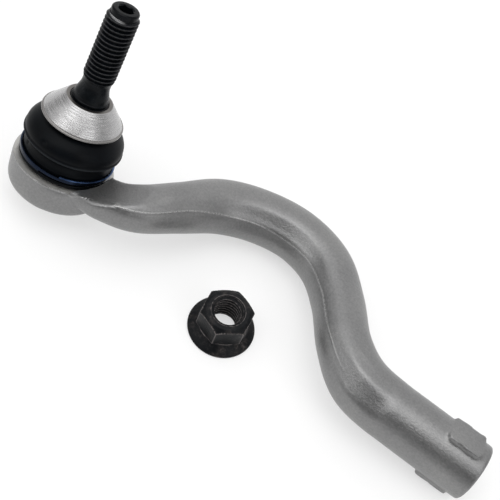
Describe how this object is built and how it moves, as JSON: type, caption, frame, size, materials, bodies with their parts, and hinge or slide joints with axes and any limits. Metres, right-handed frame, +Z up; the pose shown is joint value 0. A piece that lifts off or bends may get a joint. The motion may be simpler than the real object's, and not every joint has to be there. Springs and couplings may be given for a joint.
{
  "type": "tie rod end",
  "caption": "Outer tie rod end: bent forged arm with a threaded barrel, a booted ball joint with a cone seat on its stud, and its loose flange nut.",
  "frame": {"origin": "middle of the floor area that the part and its loose nut take up, on the ground they lie on", "axes": "+X runs from the ball joint's housing to the barrel's mouth, +Z points up from the ground, and the stud leans towards +Y"},
  "size_m": [0.2426, 0.0815, 0.0965],
  "materials": {
    "forged_aluminium": "forged and shot-blasted, satin, fine grain, with a faced deck",
    "bearing_plastic": "moulded acetal, greased",
    "spring_steel": "tempered strip, satin",
    "plate_steel": "pressed and zinc plated",
    "boot_rubber": "moulded, matte",
    "ring_steel": "hardened, dark",
    "blued_spring_wire": "blued flat spring wire, satin",
    "blackened_steel": "black phosphate, oiled",
    "turned_steel": "fine turned, bright",
    "phosphated_nut_steel": "black phosphate, mottled"
  },
  "bodies": {
    "housing": {"forged_arm": "forged_aluminium", "upper_bearing": "bearing_plastic", "lower_bearing": "bearing_plastic", "preload_spring": "spring_steel", "closing_plate": "plate_steel", "boot_clamp_ring": "blued_spring_wire"},
    "boot_middle": {"boot": "boot_rubber"},
    "boot_lip": {"boot_insert": "ring_steel", "boot_top_ring": "ring_steel"},
    "stud": {"ball_stud": "blackened_steel", "seat_collar": "turned_steel"},
    "nut": {"flange_nut": "phosphated_nut_steel"}
  },
  "joints": [
    {"name": "stud_tilt_side", "type": "hinge", "parent": "housing", "child": "boot_middle", "pos_m": [-0.0987, -0.01442, 0.02435], "axis": [0.9998, 0, 0.0192], "range_deg": [-18, 18], "deforming": ["boot"]},
    {"name": "stud_tilt_end", "type": "hinge", "parent": "boot_middle", "child": "boot_lip", "pos_m": [-0.0987, -0.01442, 0.02435], "axis": [0.0071, 0.9298, -0.3681], "range_deg": [-18, 18], "deforming": ["boot"]},
    {"name": "stud_spin", "type": "hinge", "parent": "boot_lip", "child": "stud", "pos_m": [-0.0987, -0.01442, 0.02435], "axis": [-0.0178, 0.3681, 0.9296], "continuous": true},
    {"name": "nut_lift", "type": "slide", "parent": "housing", "child": "nut", "axis": [0, 0, 1], "range_m": [0, 0.1]}
  ]
}
